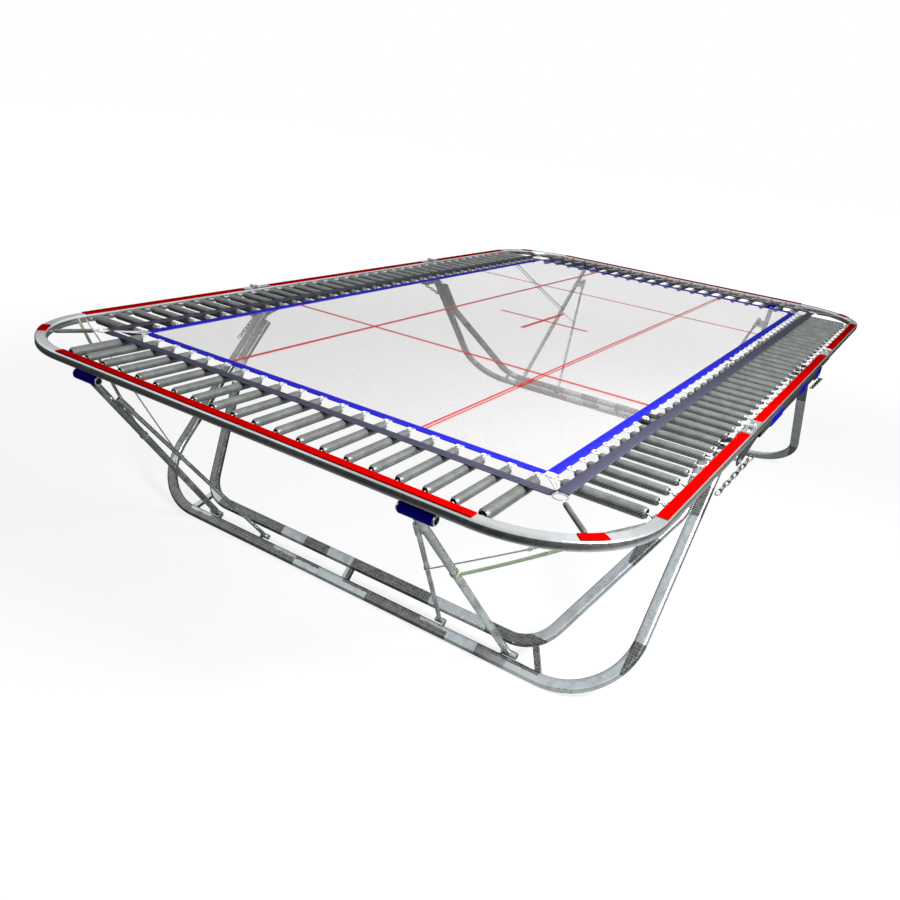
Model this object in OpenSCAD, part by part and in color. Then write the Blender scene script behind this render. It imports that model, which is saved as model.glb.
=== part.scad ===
// Folding rectangular trampoline. Millimetres, +Z up, origin on the floor
// under the centre of the bed. X runs along the long side.
// End "a" is at -X, end "b" at +X; side "l" is at +Y, side "r" at -Y.

/* [Bed] */
// Length of the jumping bed over its webbing border
bed_l = 4280; // [4000:10:4400]
// Width of the jumping bed over its webbing border
bed_w = 2140; // [1900:10:2200]
// Width of the webbing border
web_w = 44; // [25:1:60]
// Thickness of the woven sheet
bed_t = 3; // [2:0.5:6]
// Thickness of the webbing border
web_t = 6; // [4:0.5:8]

/* [Frame] */
// Distance between the centre lines of the two end rails
frame_l = 5188; // [4900:2:5400]
// Distance between the centre lines of the two long rails
frame_w = 2918; // [2700:2:3100]
// Height of the top of the rails above the floor
rail_top = 1075; // [1050:5:1160]
// Width of the rail tube
rail_w = 50; // [40:1:60]
// Height of the rail tube
rail_h = 40; // [30:1:60]
// Wall of the rail tube
rail_t = 3; // [2:0.5:5]
// Centre line radius of the frame corners
corner_r = 440; // [300:5:500]
// Distance from the middle of the frame to each fold
fold_x = 980; // [900:5:1050]
// Height of the fold axis above the top of the rails
fold_up = 14; // [10:1:20]

/* [Strips] */
// Width of the coloured strips on the rails
strip_w = 40; // [25:1:46]
// Thickness of the coloured strips
strip_t = 3; // [1:0.5:5]

/* [Springs] */
// Spacing of the springs along the long sides
side_pitch = 111.5; // [100:0.5:120]
// Springs on each side of the middle one along a long side
side_half_count = 19; // [16:1:19]
// Spacing of the springs along the short ends
end_pitch = 107.5; // [95:0.5:115]
// Half the number of springs on a short end
end_half_count = 10; // [8:1:10]
// Radius of a spring coil
coil_r = 18; // [12:0.5:20]
// Radius of the heavier coil next to each corner
heavy_r = 23; // [18:0.5:25]

/* [Belts] */
// Width of the belts that lie on the springs
belt_w = 48; // [30:1:60]
// Thickness of the belts
belt_t = 3; // [2:0.5:5]

/* [Legs] */
// Distance from the middle of the frame to each leg pivot
leg_pivot_x = 990; // [950:5:1030]
// Height of the leg pivots above the floor
leg_pivot_z = 925; // [900:5:980]
// Distance from the middle of the frame to the outer floor tubes
floor_x = 1816; // [1700:2:1900]
// Half the distance between the two legs of an outer frame
leg_y = 1376; // [1300:2:1400]
// Width of the leg tube across the leg frame
leg_w = 56; // [40:1:64]
// Thickness of the leg tube
leg_t = 38; // [30:1:45]
// Bend radius of the outer leg frame
outer_bend = 330; // [250:5:400]
// Bend radius of the inner leg frame
inner_bend = 190; // [150:5:260]
// Angle by which the inner legs spread
spread = 22.7; // [15:0.1:30]

/* [Braces] */
// Distance of the brace feet from the middle plane
brace_foot_y = 884; // [800:2:950]
// Distance of the brace heads from the middle plane
brace_head_y = 811; // [740:2:900]
// Distance of the strut feet from the middle plane
strut_foot_y = 535; // [450:5:600]
// Radius of the brace tube
brace_r = 16; // [12:0.5:20]
// Radius of the strut tube
strut_r = 9.5; // [7:0.5:12]
// Length of the sleeve on the brace head
sleeve_l = 130; // [100:5:180]

/* [Part] */
// Sub-part to draw

/* [Hidden] */
rail_y = frame_w / 2;
rail_x = frame_l / 2;
rail_z = rail_top - rail_h / 2;
rail_r = 9;
rail_in_y = rail_y - rail_w / 2;
rail_in_x = rail_x - rail_w / 2;
fold_z = rail_top + fold_up;
cut = 1.5;                      // half gap in soft pieces at a fold
rail_cut = 2;                   // half gap between rails at a fold
lift = 0.2;                     // gap under pieces laid on a rail
straight_x = rail_x - corner_r;
straight_y = rail_y - corner_r;
strip_mid = 848;                // half length of the middle strips
strip_start = 1070;             // where the outer strips begin
coil_top = rail_top + 2;        // height of the upper side of every coil
bed_z = rail_top - 4;
belt_z = coil_top + 0.5;
belt_y = bed_w / 2 + 80;
belt_x = bed_l / 2 + 125;
ring_r = 26;
ring_x = bed_l / 2 + 132;
ring_y = bed_w / 2 + 87;
leg_r = 15;
leg_wall = 3;
plug_t = 3;
// angle of the leg plane from the vertical, found with the tube on the floor
tilt0 = atan((floor_x - leg_pivot_x) / (leg_pivot_z - 27.3));
floor_z = (leg_w / 2 - leg_r) * cos(tilt0) + (leg_t / 2 - leg_r) * sin(tilt0) + leg_r;
tilt = atan((floor_x - leg_pivot_x) / (leg_pivot_z - floor_z));
outer_s = round(10 * (leg_pivot_z - floor_z) / cos(tilt)) / 10;
inner_s = outer_s - 110;
inner_half = 860;               // half length of the inner floor tube
inner_y = leg_y - leg_w - 2;
kink_r = 150;
pin_r = 8;
foot_s = outer_s - 46;         // brace pivots, measured down the leg plane
foot_x = leg_pivot_x + foot_s * sin(tilt);
foot_z = leg_pivot_z - foot_s * cos(tilt);
head_x = rail_x + 6;
head_z = rail_top - rail_h - 24;
head_r = 18;
sleeve_r = 23;
sleeve_off = 14;                // sleeve centre beyond the brace head
sleeve_y = brace_head_y + sleeve_off;
foot = [foot_x, brace_foot_y, foot_z];
head = [head_x, brace_head_y, head_z];
strut_foot = [foot_x, strut_foot_y, foot_z];
strut_top = [2490, 763, 903];
link_l = 46;
link_w = 24;
link_t = 6;
link_pitch = 31;
links = 9;
chain_top = [880, 1484, 930];
chain_low = [1140, 1420, 791];

steel = [0.62, 0.65, 0.66];
dark_steel = [0.30, 0.32, 0.32];
red = [0.93, 0.03, 0.03];
blue = [0.10, 0.10, 0.75];
white = [0.92, 0.91, 0.92];
grey_belt = [0.33, 0.33, 0.40];
green = [0.58, 0.68, 0.50];
black = [0.10, 0.10, 0.10];

// ---------- helpers ----------
module at_end(s) {
  if (s < 0)
    mirror([1, 0, 0]) children();
  else
    children();
}

module at_side(s) {
  if (s < 0)
    mirror([0, 1, 0]) children();
  else
    children();
}

module both_sides() {
  children();
  mirror([0, 1, 0]) children();
}

module both_ends() {
  children();
  mirror([1, 0, 0]) children();
}

// rounded rectangle; steps is the number of facets of a full corner circle
module rounded(w, h, r, steps) {
  square([w - 2 * r, h], center = true);
  square([w, h - 2 * r], center = true);
  for (i = [-1, 1], j = [-1, 1])
    translate([i * (w / 2 - r), j * (h / 2 - r)]) circle(r, $fn = steps);
}

module hollow_section(w, h, r, t) {
  difference() {
    rounded(w, h, r, 16);
    rounded(w - 2 * t, h - 2 * t, r - t, 8);
  }
}

module rail_section() {
  hollow_section(rail_w, rail_h, rail_r, rail_t);
}

module leg_section() {
  hollow_section(leg_w, leg_t, leg_r, leg_wall);
}

// slightly smaller tube that plugs into a bend
module plug_section() {
  hollow_section(leg_w - 0.8, leg_t - 0.8, leg_r - 0.4, leg_wall);
}

// box between two corners
module box(a, b) {
  translate(a) cube(b - a);
}

// turns +Z onto the line from a to b
module aim(a, b) {
  d = b - a;
  translate(a)
    rotate([0, acos(d[2] / norm(d)), atan2(d[1], d[0])])
      children();
}

module rod(a, b, r, steps) {
  aim(a, b) cylinder(h = norm(b - a), r = r, $fn = steps);
}

module rod_y(x, y0, y1, z, r, steps) {
  translate([x, y0, z]) rotate([-90, 0, 0]) cylinder(h = y1 - y0, r = r, $fn = steps);
}

// ---------- rails ----------
module middle_rail(s) {
  color(steel)
    at_side(s)
      translate([-fold_x + rail_cut, rail_y, rail_z])
        rotate([90, 0, 90])
          linear_extrude(2 * (fold_x - rail_cut)) rail_section();
}

module end_frame(s) {
  color(steel)
    at_end(s) {
      both_sides() {
        translate([fold_x + rail_cut, rail_y, rail_z])
          rotate([90, 0, 90])
            linear_extrude(straight_x - fold_x - rail_cut) rail_section();
        translate([straight_x, straight_y, rail_z])
          rotate_extrude(angle = 90, $fn = 36)
            translate([corner_r, 0]) rail_section();
      }
      translate([rail_x, -straight_y, rail_z])
        rotate([-90, 0, 0])
          linear_extrude(2 * straight_y) rail_section();
    }
}

under_half = 775;
under_w = 38;
under_top = rail_top - rail_h - 2;
under_bottom = under_top - 50;
under_sleeves = [[-560, -320], [140, 300], [630, 770]];

module under_rails() {
  color(dark_steel)
    both_sides()
      translate([-under_half, rail_y, (under_top + under_bottom) / 2])
        rotate([90, 0, 90])
          linear_extrude(2 * under_half)
            hollow_section(under_w, under_top - under_bottom, 8, rail_t);
}

module under_rail_sleeves() {
  color(blue)
    both_sides()
      for (span = under_sleeves)
        translate([span[0], rail_y, (under_top + under_bottom) / 2])
          rotate([90, 0, 90])
            linear_extrude(span[1] - span[0])
              difference() {
                rounded(under_w + 8, under_top - under_bottom + 8, 11, 16);
                rounded(under_w + 0.8, under_top - under_bottom + 0.8, 6, 16);
                translate([-40, 21]) square([80, 20]);
              }
}

// ---------- hinges ----------
hinge_half_y = 21;
leaf_t = 4;
knuckle_r = 8;
knuckle_gap = 1;
knuckle_mid = 7;
hinge_pin_r = 4;

module leaf_plate(x0, x1, bolt_x) {
  box([x0, rail_y - hinge_half_y, rail_top + lift],
      [x1, rail_y + hinge_half_y, rail_top + lift + leaf_t]);
  translate([bolt_x, rail_y, rail_top + lift + leaf_t])
    cylinder(h = 4, r = 8, $fn = 6);
}

module knuckle(y0, y1, toward) {
  rod_y(fold_x, y0, y1, fold_z, knuckle_r, 24);
  box([min(fold_x, fold_x + toward * 12), y0, rail_top + lift],
      [max(fold_x, fold_x + toward * 12), y1, fold_z]);
}

module hinge_leaves_mid() {
  color(steel)
    both_ends() both_sides()
      difference() {
        union() {
          leaf_plate(856, fold_x - 10, 905);
          knuckle(rail_y - knuckle_mid, rail_y + knuckle_mid, -1);
        }
        rod_y(fold_x, rail_y - 40, rail_y + 40, fold_z, hinge_pin_r + 0.15, 24);
      }
}

module hinge_leaves(s) {
  color(steel)
    at_end(s) both_sides()
      difference() {
        union() {
          leaf_plate(fold_x + 10, 1062, 1030);
          for (j = [-1, 1])
            knuckle(rail_y + min(j * (knuckle_mid + knuckle_gap), j * hinge_half_y),
                    rail_y + max(j * (knuckle_mid + knuckle_gap), j * hinge_half_y), 1);
        }
        rod_y(fold_x, rail_y - 40, rail_y + 40, fold_z, hinge_pin_r + 0.15, 24);
      }
}

module hinge_pins() {
  color(steel)
    both_ends() both_sides() {
      rod_y(fold_x, rail_y - hinge_half_y - 2, rail_y + hinge_half_y + 2, fold_z, hinge_pin_r, 24);
      for (j = [-1, 1])
        rod_y(fold_x, rail_y + min(j * 22, j * 25), rail_y + max(j * 22, j * 25), fold_z, 6.5, 16);
    }
}

cheek_t = 6;
cheek_in = 1410;
cheek_out = 1446;

// bolt through the first chain link
chain_pin = chain_top + 10.5 * (chain_low - chain_top) / norm(chain_low - chain_top);

module bracket_outline() {
  polygon([[1016, 1034], [1020, 917], [1004, 903], [900, 903], [850, 917], [742, 941],
           [606, 961], [590, 969], [592, 976], [778, 976], [786, 985], [786, 1034]]);
}

module leg_brackets() {
  color(dark_steel)
    both_ends() both_sides()
      difference() {
        union() {
          for (y = [cheek_in, cheek_out])
            translate([0, y + cheek_t, 0]) rotate([90, 0, 0]) linear_extrude(cheek_t) bracket_outline();
          box([786, cheek_in, 1028], [1016, 1482, 1034]);
          rod_y(chain_pin[0], cheek_out + 1, chain_top[1] + 7, chain_pin[2], 3, 16);
        }
        rod_y(leg_pivot_x, 1400, 1460, leg_pivot_z, pin_r + 0.15, 24);
      }
}

module leg_pins() {
  color(steel)
    both_ends() both_sides() {
      rod_y(leg_pivot_x, 1344, 1456, leg_pivot_z, pin_r, 24);
      rod_y(leg_pivot_x, 1341, 1346.5, leg_pivot_z, 13, 24);
      rod_y(leg_pivot_x, 1453, 1459, leg_pivot_z, 13, 6);
    }
}

// ---------- strips on the rails ----------
strip_z = rail_top + lift;

module strips_mid() {
  color(red)
    both_sides()
      box([-strip_mid, rail_y - strip_w / 2, strip_z],
          [strip_mid, rail_y + strip_w / 2, strip_z + strip_t]);
}

corner_strip = [41.9, 54.1];    // first and last angle of a corner strip

module strips(s) {
  color(red)
    at_end(s) {
      both_sides() {
        box([strip_start, rail_y - strip_w / 2, strip_z],
            [straight_x, rail_y + strip_w / 2, strip_z + strip_t]);
        translate([straight_x, straight_y, strip_z])
          rotate([0, 0, corner_strip[0]])
            rotate_extrude(angle = corner_strip[1] - corner_strip[0], $fn = 90)
              translate([corner_r - strip_w / 2, 0]) square([strip_w, strip_t]);
      }
      box([rail_x - strip_w / 2, -straight_y, strip_z],
          [rail_x + strip_w / 2, straight_y, strip_z + strip_t]);
    }
}

// ---------- bed ----------
bed_x = bed_l / 2;
bed_y = bed_w / 2;
sheet_x = bed_x - web_w;
sheet_y = bed_y - web_w;

module bed_mid() {
  color(white)
    box([-fold_x + cut, -sheet_y, bed_z - bed_t / 2], [fold_x - cut, sheet_y, bed_z + bed_t / 2]);
}

module bed(s) {
  color(white)
    at_end(s) {
      box([fold_x + cut, -sheet_y, bed_z - bed_t / 2], [sheet_x, sheet_y, bed_z + bed_t / 2]);
      both_sides()
        box([sheet_x + 1, sheet_y + 1, bed_z - bed_t / 2], [bed_x - 3, bed_y - 3, bed_z + bed_t / 2]);
    }
}

module webbing_mid() {
  color(blue)
    both_sides()
      box([-fold_x + cut, sheet_y + 0.5, bed_z - web_t / 2], [fold_x - cut, bed_y, bed_z + web_t / 2]);
}

module webbing(s) {
  color(blue)
    at_end(s) {
      both_sides()
        box([fold_x + cut, sheet_y + 0.5, bed_z - web_t / 2], [sheet_x, bed_y, bed_z + web_t / 2]);
      box([sheet_x + 0.5, -sheet_y, bed_z - web_t / 2], [bed_x, sheet_y, bed_z + web_t / 2]);
    }
}

// ---------- springs ----------
hook_r = 3;
hook_bed = 24;
hook_rail = 28;

// a coil with its wire hooks, along +Y from y0 to y1
module spring(y0, y1, r) {
  rod_y(0, y0 + 1.5, y1 - 1.5, 0, hook_r, 6);
  rod_y(0, y0 + hook_bed, y1 - hook_rail, 0, r, 14);
}

module side_spring(k) {
  r = k == side_half_count ? heavy_r : coil_r;
  translate([k * side_pitch, 0, coil_top - r]) spring(bed_y, rail_in_y, r);
}

// number of the first spring beyond the fold
first_out = ceil(fold_x / side_pitch);

module springs_mid() {
  color(dark_steel)
    both_sides()
      for (k = [1 - first_out : first_out - 1]) side_spring(k);
}

module side_springs(s) {
  color(dark_steel)
    at_end(s) both_sides()
      for (k = [first_out : side_half_count]) side_spring(k);
}

module end_springs(s) {
  color(dark_steel)
    at_end(s) both_sides()
      for (k = [1 : end_half_count]) {
        r = k == end_half_count ? heavy_r : coil_r;
        translate([0, (k - 0.5) * end_pitch, coil_top - r])
          rotate([0, 0, -90]) spring(bed_x, rail_in_x, r);
      }
}

// ---------- belts, rings and corner springs ----------
module belts_mid() {
  color(grey_belt)
    both_sides()
      box([-fold_x + cut, belt_y - belt_w / 2, belt_z], [fold_x - cut, belt_y + belt_w / 2, belt_z + belt_t]);
}

module belts(s) {
  color(grey_belt)
    at_end(s) {
      both_sides()
        box([fold_x + cut, belt_y - belt_w / 2, belt_z],
            [ring_x - ring_r - 6, belt_y + belt_w / 2, belt_z + belt_t]);
      box([belt_x - belt_w / 2, -ring_y + ring_r + 6, belt_z],
          [belt_x + belt_w / 2, ring_y - ring_r - 6, belt_z + belt_t]);
    }
}

module corner_rings(s) {
  color(steel)
    at_end(s) both_sides()
      translate([ring_x, ring_y, belt_z + 1])
        rotate_extrude($fn = 28) translate([ring_r, 0]) circle(3, $fn = 8);
}

module corner_springs(s) {
  reach = corner_r - rail_w / 2 - 3;
  a = [ring_x + 18, ring_y + 19, belt_z - 10];
  b = [straight_x + reach * cos(47.5), straight_y + reach * sin(47.5), rail_top - 14];
  u = (b - a) / norm(b - a);
  color(dark_steel)
    at_end(s) both_sides() {
      rod(a, b, 2.5, 6);
      rod(a + 8 * u, b - 14 * u, 10, 14);
    }
}

// ---------- straps and ropes ----------
module strap(s, side) {
  a = [2300, brace_foot_y - 12, 668];
  b = [2210, rail_in_y - 9, 1060];
  color(green)
    at_end(s) at_side(side)
      aim(a, b) translate([-1.5, -7.5, 0]) cube([3, 15, norm(b - a)]);
}

module rope(s, side) {
  a = [2232, 704, 586];
  b = [2165, rail_in_y - 7, 1050];
  color(white)
    at_end(s) at_side(side) rod(a, b, 3, 8);
}

// ---------- leg frames, drawn flat with the pivots on the x axis ----------
module leg_place(s) {
  at_end(s)
    translate([leg_pivot_x, 0, leg_pivot_z])
      rotate([0, -tilt, 0]) rotate([90, 0, 90])
        children();
}

module leg_run(p, a, l) {
  translate([p[0], p[1], 0]) rotate([0, 0, a]) rotate([90, 0, 90])
    linear_extrude(l) leg_section();
}

module leg_bend(c, a, turn, r) {
  translate([c[0], c[1], 0]) rotate([0, 0, a])
    rotate_extrude(angle = turn, $fn = 36) translate([r, 0]) leg_section();
}

leg_over = 34;                  // outer leg beyond its pivot

module outer_leg(s) {
  flat = leg_y - outer_bend;
  color(steel)
    leg_place(s)
      difference() {
        union() {
          leg_run([-flat, -outer_s], 0, 2 * flat);
          both_ends() {
            leg_bend([flat, outer_bend - outer_s], -90, 90, outer_bend);
            leg_run([leg_y, outer_bend - outer_s], 90, outer_s - outer_bend + leg_over);
          }
        }
        translate([-1500, 0, 0]) rotate([0, 90, 0]) cylinder(h = 3000, r = pin_r + 0.3, $fn = 24);
      }
}

inner_top = 30;                 // inner leg ends this far below the pivot
plug_in = 2;                    // depth of the spread leg in its bends
turn = 90 - spread;
run_l = (inner_y - inner_half - inner_bend * cos(spread) - kink_r * (1 - cos(spread))) / sin(spread);
bend_end = [inner_half + inner_bend * cos(spread), inner_bend * (1 - sin(spread)) - inner_s];
kink = bend_end + run_l * [sin(spread), cos(spread)];
kink_c = kink + kink_r * [-cos(spread), sin(spread)];

module inner_leg(s) {
  color(steel)
    leg_place(s) {
      leg_run([-inner_half, -inner_s], 0, 2 * inner_half);
      both_ends() {
        leg_bend([inner_half, inner_bend - inner_s], -90, turn, inner_bend);
        translate([bend_end[0], bend_end[1], 0]) rotate([0, 0, turn]) translate([-plug_in, 0, 0])
          rotate([90, 0, 90]) linear_extrude(run_l + 2 * plug_in) plug_section();
        leg_bend(kink_c, -spread, spread, kink_r);
        leg_run([inner_y, kink_c[1]], 90, -inner_top - kink_c[1]);
      }
    }
}

bar_w = 36;
bar_t = 24;
side_bar_w = 30;
bar_foot_y = 1040;              // the side bars lean from here
bar_head_y = 975;               // to here at the inner floor tube

module cross_bars(s) {
  low = -outer_s + leg_w / 2 + 0.3;
  color(steel)
    leg_place(s) {
      box([-bar_w / 2, low, -bar_t / 2], [bar_w / 2, -inner_s - leg_w / 2 - 0.3, bar_t / 2]);
      both_ends()
        difference() {
          translate([0, 0, -bar_t / 2])
            linear_extrude(bar_t)
              polygon([[bar_foot_y - side_bar_w / 2, low], [bar_foot_y + side_bar_w / 2, low],
                       [bar_head_y + side_bar_w / 2, -inner_s + 30],
                       [bar_head_y - side_bar_w / 2, -inner_s + 30]]);
          translate([inner_half, inner_bend - inner_s, -40])
            cylinder(h = 80, r = inner_bend + leg_w / 2 + 0.3, $fn = 72);
        }
    }
}

module leg_cap(y, v) {
  translate([y, v, 0]) rotate([-90, 0, 0])
    linear_extrude(plug_t) rounded(leg_w - 1, leg_t - 1, leg_r - 1, 16);
}

module leg_caps(s) {
  color(black)
    leg_place(s) both_ends() {
      leg_cap(inner_y, -inner_top + 0.3);
      leg_cap(leg_y, leg_over + 0.3);
    }
}

lug_t = 6;

// a plate on the floor tube with a stub pin along +X of the flat drawing
module lug(y, pin_to, r) {
  box([y, -outer_s + leg_w / 2 + 0.3, -13], [y + lug_t, -foot_s, 13]);
  translate([y, -foot_s, 0]) rotate([0, 90, 0]) cylinder(h = lug_t, r = 14, $fn = 24);
  translate([min(y, pin_to), -foot_s, 0]) rotate([0, 90, 0])
    cylinder(h = abs(pin_to - y), r = r, $fn = 24);
}

foot_pin = 11;
strut_pin = 7;

module brace_lugs(s) {
  color(steel)
    leg_place(s) both_ends() {
      lug(brace_foot_y - 28, brace_foot_y + 30, foot_pin);
      lug(strut_foot_y + 22, strut_foot_y - 16, strut_pin);
    }
}

// ---------- braces ----------
module brace(s, side) {
  lean = (strut_top - strut_foot) / norm(strut_top - strut_foot);
  u = (head - foot) / norm(head - foot);
  near = foot + u * ((strut_top - foot) * u);
  v = (strut_top - near) / norm(strut_top - near);
  w = cross(u, v);
  color(steel)
    at_end(s) at_side(side)
      difference() {
        union() {
          rod(foot, head, brace_r, 28);
          rod_y(head_x, sleeve_y - sleeve_l / 2 - 8, sleeve_y + sleeve_l / 2 + 8, head_z, head_r, 28);
          rod_y(foot_x, brace_foot_y - 20, brace_foot_y + 45, foot_z, 15.5, 28);
          rod(strut_foot, strut_top, strut_r, 20);
          rod(strut_top - 78 * lean, strut_top + 10 * lean, 13, 20);
          rod_y(foot_x, strut_foot_y - 20, strut_foot_y + 20, foot_z, 13, 24);
          multmatrix([[u[0], v[0], w[0], near[0]], [u[1], v[1], w[1], near[1]], [u[2], v[2], w[2], near[2]]])
            translate([0, 0, -2.5])
              linear_extrude(5) polygon([[-64, 10], [4, 10], [-4, 44], [-60, 62]]);
        }
        rod_y(head_x, brace_head_y - 120, brace_head_y + 120, head_z, head_r - 3.5, 28);
        rod_y(foot_x, brace_foot_y - 60, brace_foot_y + 80, foot_z, foot_pin + 0.3, 24);
        rod_y(foot_x, strut_foot_y - 60, strut_foot_y + 60, foot_z, strut_pin + 0.3, 24);
        rod(strut_top - 8 * lean, strut_top + 30 * lean, 9.5, 20);
      }
}

module brace_sleeve(s, side) {
  color(blue)
    at_end(s) at_side(side)
      difference() {
        rod_y(head_x, sleeve_y - sleeve_l / 2, sleeve_y + sleeve_l / 2, head_z, sleeve_r, 32);
        rod_y(head_x, brace_head_y - 120, brace_head_y + 120, head_z, head_r + 0.3, 28);
        rod(foot, head, brace_r + 0.6, 28);
      }
}

// ---------- chains ----------
module link_outline(l, w) {
  square([w, l - w], center = true);
  for (j = [-1, 1]) translate([0, j * (l - w) / 2]) circle(w / 2, $fn = 8);
}

module chains() {
  color(steel)
    both_ends() both_sides()
      aim(chain_top, chain_low)
        for (i = [0 : links - 1])
          translate([0, 0, link_l / 2 + i * link_pitch])
            rotate([0, 0, (i % 2) * 90])
              rotate([90, 0, 0])
                translate([0, 0, -link_t / 2])
                  linear_extrude(link_t)
                    difference() {
                      link_outline(link_l, link_w);
                      link_outline(link_l - 2 * link_t, link_w - 2 * link_t);
                    }
}

middle_rail(1);  // middle_rail_l
middle_rail(-1);  // middle_rail_r
under_rails();
under_rail_sleeves();
leg_brackets();
leg_pins();
hinge_leaves_mid();
hinge_pins();
strips_mid();
bed_mid();
webbing_mid();
springs_mid();
belts_mid();
end_frame(-1);  // end_frame_a
hinge_leaves(-1);  // hinge_leaves_a
strips(-1);  // strips_a
bed(-1);  // bed_a
webbing(-1);  // webbing_a
side_springs(-1);  // side_springs_a
end_springs(-1);  // end_springs_a
belts(-1);  // belts_a
corner_rings(-1);  // corner_rings_a
corner_springs(-1);  // corner_springs_a
end_frame(1);  // end_frame_b
hinge_leaves(1);  // hinge_leaves_b
strips(1);  // strips_b
bed(1);  // bed_b
webbing(1);  // webbing_b
side_springs(1);  // side_springs_b
end_springs(1);  // end_springs_b
belts(1);  // belts_b
corner_rings(1);  // corner_rings_b
corner_springs(1);  // corner_springs_b
outer_leg(-1);  // outer_leg_a
inner_leg(-1);  // inner_leg_a
cross_bars(-1);  // cross_bars_a
leg_caps(-1);  // leg_caps_a
brace_lugs(-1);  // brace_lugs_a
outer_leg(1);  // outer_leg_b
inner_leg(1);  // inner_leg_b
cross_bars(1);  // cross_bars_b
leg_caps(1);  // leg_caps_b
brace_lugs(1);  // brace_lugs_b
brace(-1, 1);  // brace_al
brace_sleeve(-1, 1);  // brace_sleeve_al
strap(-1, 1);  // strap_al
rope(-1, 1);  // rope_al
brace(-1, -1);  // brace_ar
brace_sleeve(-1, -1);  // brace_sleeve_ar
strap(-1, -1);  // strap_ar
rope(-1, -1);  // rope_ar
brace(1, 1);  // brace_bl
brace_sleeve(1, 1);  // brace_sleeve_bl
strap(1, 1);  // strap_bl
rope(1, 1);  // rope_bl
brace(1, -1);  // brace_br
brace_sleeve(1, -1);  // brace_sleeve_br
strap(1, -1);  // strap_br
rope(1, -1);  // rope_br
chains();
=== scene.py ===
"""Folding rectangular trampoline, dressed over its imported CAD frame.

Metres, +Z up, +X along the long side. End a is at -X and end b at +X; side l is at +Y and side r at -Y.
"""

import math

import bpy
import numpy as np
from mathutils import Matrix, Vector

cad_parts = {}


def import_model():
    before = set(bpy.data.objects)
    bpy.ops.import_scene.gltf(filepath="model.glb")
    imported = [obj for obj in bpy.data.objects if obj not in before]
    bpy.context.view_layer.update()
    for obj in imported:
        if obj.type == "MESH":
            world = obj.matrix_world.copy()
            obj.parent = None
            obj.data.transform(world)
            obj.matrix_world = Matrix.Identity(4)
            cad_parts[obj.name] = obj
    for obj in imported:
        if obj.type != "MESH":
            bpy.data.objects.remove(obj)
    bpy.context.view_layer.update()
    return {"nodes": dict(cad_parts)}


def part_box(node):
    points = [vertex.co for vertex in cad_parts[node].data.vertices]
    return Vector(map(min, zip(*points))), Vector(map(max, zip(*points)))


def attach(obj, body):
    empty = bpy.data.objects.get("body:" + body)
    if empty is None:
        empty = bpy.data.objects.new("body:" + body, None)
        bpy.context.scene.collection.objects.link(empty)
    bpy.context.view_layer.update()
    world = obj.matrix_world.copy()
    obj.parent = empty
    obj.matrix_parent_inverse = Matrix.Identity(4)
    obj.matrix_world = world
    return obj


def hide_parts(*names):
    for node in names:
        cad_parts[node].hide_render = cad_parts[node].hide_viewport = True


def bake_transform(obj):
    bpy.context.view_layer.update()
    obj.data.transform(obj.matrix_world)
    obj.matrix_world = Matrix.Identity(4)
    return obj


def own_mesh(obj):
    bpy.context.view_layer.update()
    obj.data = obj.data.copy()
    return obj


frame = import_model()

# ---------------------------------------------------------------- sizes
ENDS = (("a", -1), ("b", 1))
SIDES = (("l", 1), ("r", -1))
UP = (0, 0, 1)

# frame
BED_X, BED_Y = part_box("webbing_b")[1].x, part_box("webbing_b")[1].y
BED_Z = (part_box("bed_mid")[0].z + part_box("bed_mid")[1].z) / 2
RAIL_X, RAIL_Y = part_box("strips_b")[1].x - 0.020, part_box("strips_b")[1].y - 0.020
RAIL_HALF = 0.025
RAIL_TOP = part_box("end_frame_b")[1].z
CORNER_R = 0.440
LEG_TILT = 42.62  # degrees between the leg frame and upright
FOLD_X, FOLD_Z = 0.980, RAIL_TOP + 0.014
BEND = 0.045  # half length of fabric that turns at a fold

# bed and border
WEB_W, WEB_T, WEB_GAP = 0.044, 0.006, 0.001
STRING_PITCH, STRING_W, STRING_HALF, STRING_LIFT = 0.0115, 0.0026, 0.00022, 0.0009
NET_TUCK = 0.012  # how far the strings run under the border
MARK_X, MARK_Y, MARK_ARM, MARK_HALF = 1.05, 0.50, 0.29, 0.015
TAPE_W, TAPE_T, TAPE_LIFT = 0.022, 0.0005, 0.0018

# springs
SIDE_PITCH, SIDE_COUNT, FIRST_OUT = 0.1115, 19, 9  # FIRST_OUT is the first spring on an end section
END_PITCH, END_COUNT = 0.1075, 10
COIL_R, HEAVY_R, COIL_PITCH = 0.018, 0.023, 0.0048
COIL_TOP = RAIL_TOP + 0.002
HOOK_BED, HOOK_RAIL = 0.024, 0.028  # from the border's edge and the rail's face to the coil
CORNER_COIL_R, CORNER_COIL_PITCH, CORNER_LEAN = 0.010, 0.0036, 47.5

# belts and corner rings
BELT_W, BELT_T = 0.048, 0.003
BELT_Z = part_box("belts_b")[0].z + BELT_T / 2
BELT_X, BELT_Y = BED_X + 0.125, BED_Y + 0.080
RING = Vector((BED_X + 0.132, BED_Y + 0.087, BELT_Z))
RING_R = 0.026

# braces, with the ties and chains that meet them and the legs, at end b and side l
BRACE_FOOT, BRACE_HEAD = Vector((1.7848, 0.884, 0.0611)), Vector((2.600, 0.811, 1.011))
STRUT_FOOT, STRUT_TOP = Vector((1.7848, 0.535, 0.0611)), Vector((2.490, 0.763, 0.903))
BRACE_R, STRUT_R = 0.0160, 0.0095
STRAP_Z, STRAP_TO = 0.668, Vector((2.210, 1.427, 1.060))
ROPE_Z, ROPE_TO = 0.586, Vector((2.165, 1.428, 1.050))
CHAIN_TOP, CHAIN_LOW = Vector((0.880, 1.484, 0.930)), Vector((1.140, 1.420, 0.791))
LINK_L, LINK_W, LINK_R, LINK_PITCH, LINKS = 0.046, 0.024, 0.0031, 0.031, 9


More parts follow.
